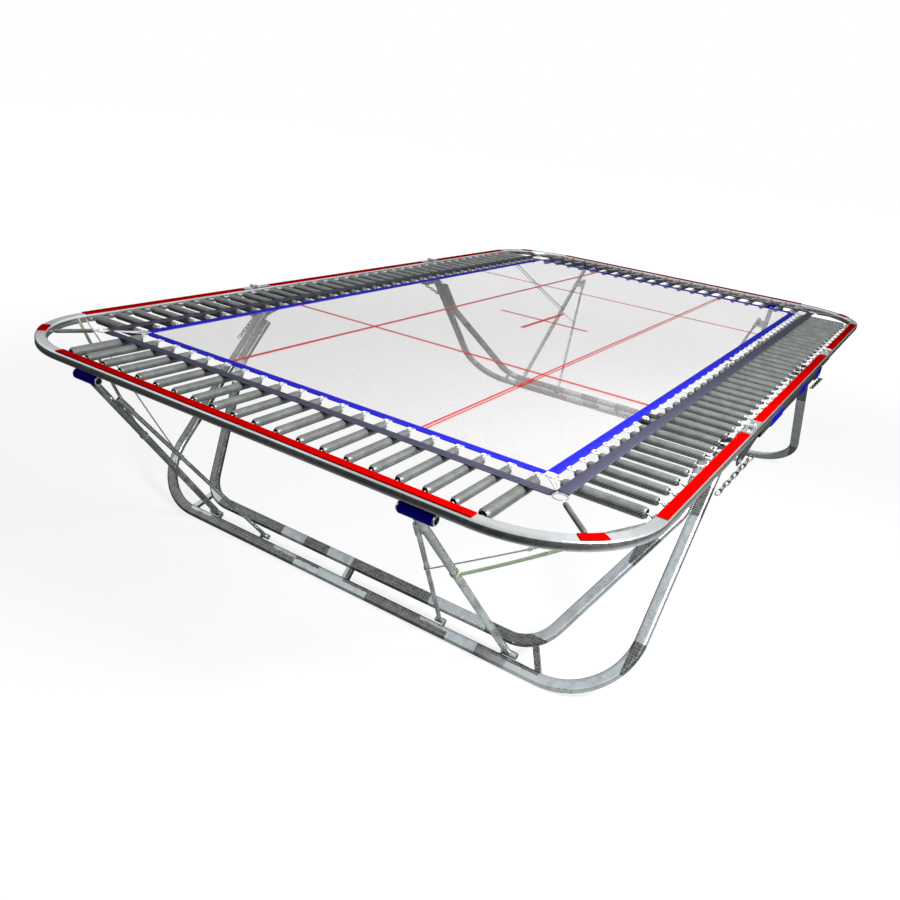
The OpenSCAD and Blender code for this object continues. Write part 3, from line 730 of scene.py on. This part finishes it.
def collar(centre, axis, radius, width, thickness):
    """A band wrapped once round a tube."""
    axis = Vector(axis).normalized()
    u = axis.orthogonal().normalized()
    v = axis.cross(u)
    ring = [centre + radius * (u * math.cos(t) + v * math.sin(t)) for t in circle(24)]
    outward = [(p - centre).normalized() for p in ring]
    return band(ring, width, thickness, up=outward, closed=True)


def sagged(start, stop, drop, steps):
    """A line that hangs by drop at its middle."""
    return [start.lerp(stop, t) - Vector((0, 0, drop * 4 * t * (1 - t))) for t in np.linspace(0, 1, steps)]


def point_on(a, b, z):
    """The point at height z on the line through a and b."""
    return a.lerp(b, (z - a.z) / (b.z - a.z))


def tie(kind, foot, head, tube, z, stop, drop):
    """A strap or cord from a collar on a tube up to a hook on the rail, as a lower and an upper half.

    Also gives where it starts and its direction.
    """
    on_tube = point_on(foot, head, z)
    start = on_tube + Vector((0, tube + 0.002, 0))
    line = sagged(start, stop, drop, 21)
    away = (line[1] - line[0]).normalized()
    lower, upper = Shape(), Shape()
    for shape, part in ((lower, line[:11]), (upper, line[10:])):
        if kind == "strap":
            shape.add(*band(part, 0.015, 0.0022, up=(0.6, 0.1, 0.8)))
        else:
            shape.add(*wire(part, 0.0032, 8))
    width, thickness = (0.015, 0.0024) if kind == "strap" else (0.008, 0.003)
    lower.add(*collar(on_tube, head - foot, tube + 0.0020, width, thickness))
    turns = [(math.cos(t), math.sin(t)) for t in circle(12)]
    ring = [line[10] + away * 0.010 * c + Vector((0, 0, 0.008 * s)) for c, s in turns]
    upper.add(*wire(ring, 0.0018, closed=True, up=(1, 0, 0)), slot=1)
    bends = ((-0.018, -0.010), (-0.005, -0.001), (0.001, 0.004), (0.002, 0.008))
    upper.add(*wire([stop + Vector((0, y, z)) for y, z in bends], 0.0022, up=(1, 0, 0)), slot=1)
    return lower, upper, start, away


def ties(end, sx):
    """The green strap and the grey cord of each brace.

    The halves part when something folds: the lower one stays with the brace, the upper one with the rail.
    """
    kinds = (
        ("strap", BRACE_FOOT, BRACE_HEAD, BRACE_R, STRAP_Z, STRAP_TO, 0.010),
        ("rope", STRUT_FOOT, STRUT_TOP, STRUT_R, ROPE_Z, ROPE_TO, 0.006),
    )
    for s, sy in SIDES:
        for kind, foot, head, tube, z, stop, drop in kinds:
            lower, upper, start, away = tie(kind, foot, head, tube, z, stop, drop)
            halves = (
                (lower, "low", "brace_" + end + s, "leg_fold_", start),
                (upper, "high", "end_" + end, "fold_", stop),
            )
            for shape, place, body, joint, anchor in halves:
                obj = shape.mirrored(sx, sy).build("_".join(("tie", kind, place, end + s)), [kind, "wire"])
                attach(obj, body)
                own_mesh(obj)
                stand_for(obj, kind, kind + "_" + end + s)


def chains(end, sx):
    """Welded links from each leg bracket to the outer leg, every other one turned on its side."""
    bend = LINK_W / 2 - LINK_R
    straight = (LINK_L - LINK_W) / 2
    turn = [math.pi * i / 6 for i in range(7)]
    loop = [(bend * math.cos(t), 0, straight + bend * math.sin(t)) for t in turn]
    loop += [(bend * math.cos(t), 0, -straight + bend * math.sin(t)) for t in (math.pi + u for u in turn)]
    link, shape = Shape(), Shape()
    link.add(*wire(loop, LINK_R, 8, closed=True, up=(0, 1, 0)))
    slope = (CHAIN_LOW - CHAIN_TOP).to_track_quat("Z", "Y").to_matrix().to_4x4()
    for i in range(LINKS):
        down = Matrix.Translation((0, 0, LINK_L / 2 + i * LINK_PITCH))
        aside = Matrix.Rotation(math.pi / 2 * (i % 2), 4, "Z")
        shape.placed(link, Matrix.Translation(CHAIN_TOP) @ slope @ down @ aside)
    for s, sy in SIDES:
        obj = shape.mirrored(sx, sy).build("chain_" + end + s, ["chain"], 60)
        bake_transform(obj)
        stand_for(obj, "zinc_fitting", "chains")


for e, sign in ENDS:
    bed_half(e, sign)
    webbing_sides(e, sign)
    webbing_end(e, sign)
    corner_spring(e, sign)
    belts(e, sign)
    ties(e, sign)
    chains(e, sign)
lay_springs()


# ---------------------------------------------------------------- floor, light and camera
FLOOR_R = 40.0
PLAIN_R = 3.0  # up to here the floor is lit plainly
WHITE_R, DARK_R = 8.0, 4.6  # beyond these it is white to the camera and dark to other rays
SKY_LOW, SKY_HIGH = 0.10, 0.42  # heights of direction between which the sky brightens
HORIZON, OVERHEAD, PLAIN = 0.04, 1.15, 0.10  # strength of the sky in reflections, and as plain light
CAMERA_AT = (-4.62, -2.013, 2.195)
CAMERA_AHEAD, CAMERA_UP = Vector((0.785, 0.491, -0.379)), Vector((0.256, 0.300, 0.919))
CAMERA_LENS, CAMERA_SHIFT = 33.2, (0.050, -0.0057)


def floor():
    """A pale floor that glows to the camera, and is dark to other rays further out."""
    mesh = bpy.data.meshes.new("floor")
    r = FLOOR_R
    mesh.from_pydata([(-r, -r, 0), (r, -r, 0), (r, r, 0), (-r, r, 0)], [], [(0, 1, 2, 3)])
    g = Graph("pale_floor", (0.55, 0.55, 0.55), 0.95)
    lit = g.add("LightPath").outputs["Is Camera Ray"]
    here = g.add("TexCoord").outputs["Object"]
    away = g.add("VectorMath", {0: here}, operation="LENGTH").outputs["Value"]
    glow = g.math("MULTIPLY_ADD", g.ramp(away, PLAIN_R, WHITE_R), 0.20, 0.83)
    bounce = g.mix(g.ramp(away, PLAIN_R, DARK_R), (0.50, 0.50, 0.50), (0.03, 0.03, 0.03))
    tone = g.mix(lit, bounce, (0.26, 0.26, 0.26))
    emission = g.math("MULTIPLY", lit, glow)
    g.finish(Base_Color=tone, Emission_Color=(1, 1, 1, 1), Emission_Strength=emission)
    mesh.materials.append(g.mat)
    new_object("floor", mesh)


def lamp(name, location, target, size, power):
    """A round soft lamp aimed at a point."""
    light = bpy.data.lights.new(name, "AREA")
    light.shape, light.size, light.energy = "DISK", size, power
    obj = new_object(name, light)
    obj.location = location
    obj.rotation_euler = (Vector(target) - Vector(location)).to_track_quat("-Z", "Y").to_euler()


def world():
    """White to the camera, dim as plain light, and in reflections brighter overhead than at the horizon."""
    w = bpy.data.worlds.new("studio")
    w.use_nodes = True
    bpy.context.scene.world = w
    tree = w.node_tree
    back = tree.nodes["Background"]
    back.inputs["Color"].default_value = (1, 1, 1, 1)
    coord = tree.nodes.new("ShaderNodeTexCoord")
    split = tree.nodes.new("ShaderNodeSeparateXYZ")
    tree.links.new(coord.outputs["Generated"], split.inputs[0])
    ramp = tree.nodes.new("ShaderNodeMapRange")
    for socket, value in zip(list(ramp.inputs)[1:5], (SKY_LOW, SKY_HIGH, HORIZON, OVERHEAD)):
        socket.default_value = value
    tree.links.new(split.outputs[2], ramp.inputs[0])
    path = tree.nodes.new("ShaderNodeLightPath")
    strength = PLAIN
    for ray, level in (("Is Glossy Ray", ramp.outputs[0]), ("Is Camera Ray", 1.0)):
        pick = tree.nodes.new("ShaderNodeMix")
        pick.data_type = "FLOAT"
        tree.links.new(path.outputs[ray], pick.inputs[0])
        for socket, value in ((pick.inputs[2], strength), (pick.inputs[3], level)):
            if isinstance(value, float):
                socket.default_value = value
            else:
                tree.links.new(value, socket)
        strength = pick.outputs[0]
    tree.links.new(strength, back.inputs["Strength"])


def camera():
    """The photograph's viewpoint: near the corner of end a and side r, a little above the rails."""
    data = bpy.data.cameras.new("camera")
    data.sensor_width = 36.0
    data.lens = CAMERA_LENS
    data.shift_x, data.shift_y = CAMERA_SHIFT
    obj = new_object("camera", data)
    ahead = CAMERA_AHEAD.normalized()
    right = ahead.cross(CAMERA_UP).normalized()
    up = right.cross(ahead)
    turn = Matrix((right, up, -ahead)).transposed().to_4x4()
    obj.matrix_world = Matrix.Translation(CAMERA_AT) @ turn
    bpy.context.scene.camera = obj


floor()
world()
lamp("key", (-2.1, -3.0, 2.9), (-1.2, -0.6, 1.0), 1.2, 190)
lamp("fill", (5.5, 3.5, 5.5), (0, 0, 0.8), 5.0, 22)
lamp("top", (0, 0, 7.5), (0, 0, 0), 6.0, 15)
camera()
bpy.context.scene.view_settings.view_transform = "Standard"
